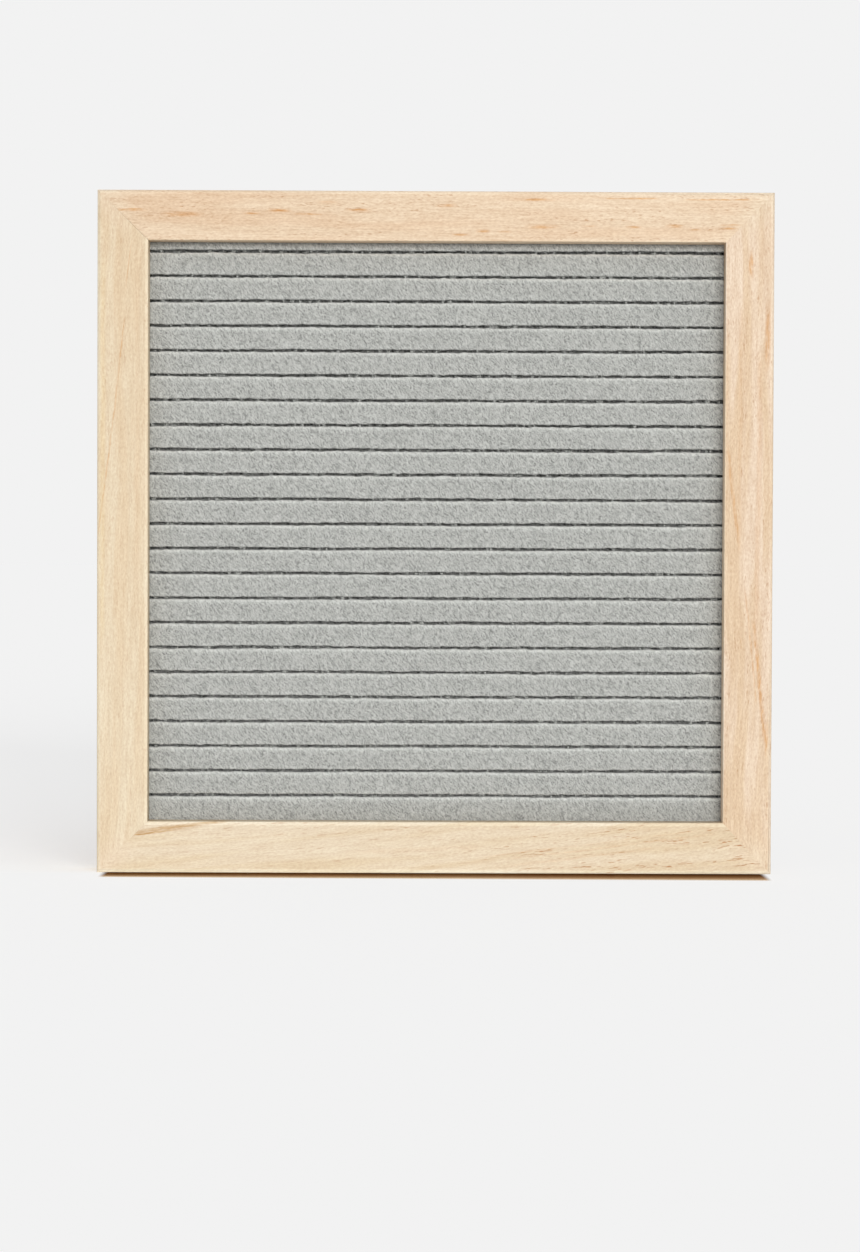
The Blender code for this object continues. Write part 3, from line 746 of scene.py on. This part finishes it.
def felt_finish(name, tint, brushed_lips_and_painted_light=0.64):
    """Matte grey felt: fine strands lying mostly one way, a painted highlight on the lips, partly paler
    fibres from brushing, and painted shade in the slots.
    """
    finish, tree, shader = new_finish(name, roughness=0.95, specular=0.1)
    point = in_millimetres(tree)
    sway = add_node(tree, "TexNoise", {"Vector": point, "Scale": 0.35, "Detail": 1.0}).outputs["Color"]
    sway = scaled(tree, sway, strand_sway)
    swayed = add_node(tree, "VectorMath", {0: point, 1: sway}, operation="ADD").outputs[0]
    falling = strands(tree, swayed, falling_fibres, (1.8, 1.2, 0.34), 3.0, 0.52, 0.70)
    rising = strands(tree, swayed, rising_fibres, (1.5, 1.2, 0.32), 61.0, 0.56, 0.72)
    light = calculate(tree, "MAXIMUM", falling, rising)
    dark = strands(tree, swayed, shaded_fibres, (1.5, 1.2, 0.36), 101.0, 0.55, 0.72)
    mottle = stretched_noise(tree, point, (5, 5, 5), 77.0, 2.0)
    grain = stretched_noise(tree, point, (0.45, 0.45, 0.45), 5.0, 1.0)
    # The lips' painted highlight, partly brushing, and the painted shade in the slots.
    lips = add_node(tree, "Attribute", attribute_name="brushed_lips_and_painted_light").outputs["Fac"]
    tone = calculate(tree, "ADD", frame_shade(tree, point), felt_base)
    tone = calculate(tree, "MULTIPLY_ADD", light, light_weight, tone)
    tone = calculate(tree, "MULTIPLY_ADD", dark, dark_weight, tone)
    tone = calculate(tree, "MULTIPLY_ADD", mottle, mottle_weight, tone)
    tone = calculate(tree, "MULTIPLY_ADD", grain, grain_weight, tone)
    tone = calculate(tree, "MULTIPLY_ADD", lips, brushed_lips_and_painted_light, tone)
    tree.links.new(scaled(tree, tint, tone), shader.inputs["Base Color"])
    shader.inputs["Sheen Weight"].default_value = 0.25
    shader.inputs["Sheen Roughness"].default_value = 0.5
    height = calculate(tree, "ADD", calculate(tree, "SUBTRACT", light, dark), grain)
    add_relief(tree, shader, height, 0.4, 0.12 * MM)
    print(name, "has", len(tree.nodes), "nodes")
    return finish

finish_piece(felt, "felt", felt_finish("grey_felt", felt_grey), "felt_sheet")

# %% [markdown]
# ## Loose fibres
#
# Felt is never clean-edged: short fibres stand off its face and hang over the grooves,
# which makes their dark lines look drawn with a soft pencil. On each slot's lower lip
# they stand up in small tufts, which nibble at the line from below. Hair particles could
# do it, but a plain mesh of tiny spindles travels better to other programs. Each one
# starts in the sheet, bends once, and ends in the open.

# %% One fibre
random.seed(7)
fibre_rise, tip_rise = (0.06, 0.2), (0.2, 1.5)
bend_place, bend_aside = (0.4, 0.6), (-0.18, 0.18)

def fibre(points, faces, root, out, aim, length, width):
    """One spindle of six faces: a root, a bent middle and a tip."""
    side = aim.cross(out).normalized()
    rise = length * random.uniform(*fibre_rise)
    middle = root + aim * length * random.uniform(*bend_place) + out * rise
    middle += side * length * random.uniform(*bend_aside)
    tip = root + aim * length + out * rise * random.uniform(*tip_rise)
    foot = root - out * width
    first = len(points)
    ring = [middle + side * width, middle - side * width, middle + out * width * 1.5]
    points += [tuple(foot), *(tuple(point) for point in ring), tuple(tip)]
    a, b, c, d, e = range(first, first + 5)
    faces += [(a, c, b), (a, d, c), (a, b, d), (e, b, c), (e, c, d), (e, d, b)]

# %% Fibres over the sheet
clump = 1.7 * MM
clump_range = (-0.6, 0.5)
edge_gap = 0.4 * MM
angle_spread = 20
tuft_spread = 0.16 * MM
standing = Vector((0, -0.15, 1)).normalized()
rightwards = Vector((1, 0, 0))

def fibre_mesh(name, count, rows, lengths, width, angles, tuft=1, upright=False):
    """Fibres on the given rows of the section, alone or in tufts, as one mesh."""
    points, faces = [], []
    weights = [math.dist(section[i][:2], section[i + 1][:2]) for i in rows]
    for i in random.choices(rows, weights, k=count // tuft):
        middle = random.uniform(opening_low.x + edge_gap, opening_high.x - edge_gap)
        density = noise.noise(Vector((middle / clump, section[i][2] * 5.3, 3.0)))
        if density < random.uniform(*clump_range):
            middle += random.choice((-clump, clump))
        for _ in range(tuft):
            x = middle + (random.gauss(0, tuft_spread) if tuft > 1 else 0.0)
            low, high = Vector(felt_point(x, section[i])), Vector(felt_point(x, section[i + 1]))
            up = standing if upright else (high - low).normalized()
            out = up.cross(rightwards).normalized()
            angle = math.radians(random.gauss(random.choice(angles), angle_spread))
            aim = rightwards * math.cos(angle) + up * math.sin(angle)
            aim *= 1 if upright else random.choice((-1, 1))
            root = low.lerp(high, random.random())
            fibre(points, faces, root, out, aim, random.uniform(*lengths), width)
    mesh = bpy.data.meshes.new(name)
    mesh.from_pydata(points, [], faces)
    made = bpy.data.objects.new(name, mesh)
    bpy.context.scene.collection.objects.link(made)
    return made

# %% Fuzz, lint and tufts
in_sight = [i for i, row in enumerate(section[:-1]) if opening_low.z < row[1] < opening_high.z]
sunk = {i: section[i][0] - felt_low.y for i in in_sight}
on_flats = [i for i in in_sight if sunk[i] < 0.3 * MM]
on_lips = [i for i in in_sight if section[i][3] and 0.1 * MM < sunk[i] < 1.2 * MM]
under_slots = [i for i in on_lips if section[i][3] < 0 and sunk[i] > 0.35 * MM]
leaning, upwards = (-45, -45, -60, 45, 80), (70, 90, 110)
fine, thick = 0.036 * MM, 0.05 * MM

fuzz = fibre_mesh("felt_fuzz", 16000, on_flats, (1.0 * MM, 3.0 * MM), fine, leaning)
lint = fibre_mesh("felt_lip_fuzz", 20000, on_lips, (0.5 * MM, 1.5 * MM), fine, leaning)
tufts = fibre_mesh(
    "felt_tufts", 5400, under_slots, (0.9 * MM, 1.5 * MM), thick, upwards, tuft=6, upright=True
)
fibre_grey = felt_finish("grey_fibres", from_8_bit(196, 197, 192), brushed_lips_and_painted_light=0.0)
for piece in (fuzz, lint, tufts):
    finish_piece(piece, "felt", fibre_grey)
    print(piece.name, len(piece.data.polygons), "faces")

# %% [markdown]
# ## The back
#
# Behind the felt lie the slotted core, which nothing shows, and a brown hardboard panel.
# Thin steel points, driven into the rebate and bent over the panel, hold both. V-nails
# sit in the mitres, and a toothed steel hanger is nailed to the top rail.

# %% Board finishes
def board_finish(name, base, speck, grain_size, roughness):
    """Pressed fibre: fine mottling, fibres paler and darker, and a scatter of dark specks."""
    finish, tree, shader = new_finish(name, roughness=roughness, specular=0.3)
    point = in_millimetres(tree)
    broad = stretched_noise(tree, point, (9, 9, 9), 2.0, 3.0)
    fine = stretched_noise(tree, point, (grain_size,) * 3, 8.0, 3.0, 0.65)
    specks = remap(tree, stretched_noise(tree, point, (0.7, 0.7, 0.35), 21.0, 1.0), 0.62, 0.72)
    pale_fibres = strands(tree, point, (10, 65, -35, -80), (2.6, 2.6, 0.5), 33.0, 0.58, 0.72)
    dark_fibres = strands(tree, point, (-10, 40, 85, -60), (2.2, 2.2, 0.5), 57.0, 0.60, 0.74)
    tone = product(
        tree,
        remap(tree, broad, 0.3, 0.7, 0.92, 1.08, smooth=False),
        remap(tree, fine, 0.3, 0.7, 0.80, 1.20, smooth=False),
    )
    tone = calculate(tree, "MULTIPLY_ADD", pale_fibres, 0.20, tone)
    tone = calculate(tree, "MULTIPLY_ADD", dark_fibres, -0.18, tone)
    colour = blend_colours(tree, specks, scaled(tree, base, tone), speck)
    tree.links.new(colour, shader.inputs["Base Color"])
    add_relief(tree, shader, fine, 0.3, 0.08 * MM)
    print(name, "has", len(tree.nodes), "nodes")
    return finish

# %% Backing panel and core
backing = merged_copy("backing_panel", "backing_board")
hardboard = board_finish("brown_hardboard", from_8_bit(142, 104, 72), from_8_bit(98, 66, 43), 0.6, 0.55)
finish_piece(backing, "hardboard", hardboard, "backing_panel")

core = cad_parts["core_board"]
fibreboard = board_finish("raw_fibreboard", from_8_bit(176, 143, 104), from_8_bit(140, 108, 74), 0.4, 0.85)
core.data.materials.clear()
core.data.materials.append(fibreboard)

# %% Steel finish
def steel_finish(name, base, rub, roughness):
    """Zinc-bright steel with fine rubbing along one direction and a cloudy dullness."""
    finish, tree, shader = new_finish(name, roughness=roughness, metallic=1.0)
    point = in_millimetres(tree)
    lines = stretched_noise(tree, point, rub, 4.0, 3.0, 0.6)
    clouds = stretched_noise(tree, point, (4, 4, 4), 9.0, 2.0)
    tone = product(
        tree,
        remap(tree, clouds, 0.3, 0.7, 0.86, 1.06, smooth=False),
        remap(tree, lines, 0.3, 0.7, 0.94, 1.05, smooth=False),
    )
    tree.links.new(scaled(tree, base, tone), shader.inputs["Base Color"])
    rough = remap(tree, clouds, 0.3, 0.7, roughness * 0.8, roughness * 1.3, smooth=False)
    tree.links.new(rough, shader.inputs["Roughness"])
    add_relief(tree, shader, lines, 0.15, 0.02 * MM)
    print(name, "has", len(tree.nodes), "nodes")
    return finish

zinc = steel_finish("zinc_plate", from_8_bit(205, 204, 198), (6, 0.15, 0.15), 0.32)
bright = steel_finish("bright_steel", from_8_bit(196, 196, 193), (0.15, 0.15, 4), 0.28)

# %% Steel pieces
for node in sorted(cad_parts):
    if node.startswith("hanger"):
        finish_piece(merged_copy(node, f"{node}_zinc"), "hanger_steel", zinc, node)
        print(node, "in zinc")
    elif node.startswith(("point", "v_nail")):
        finish_piece(merged_copy(node, f"{node}_steel"), "fastener_steel", bright, node)
        print(node, "in steel")
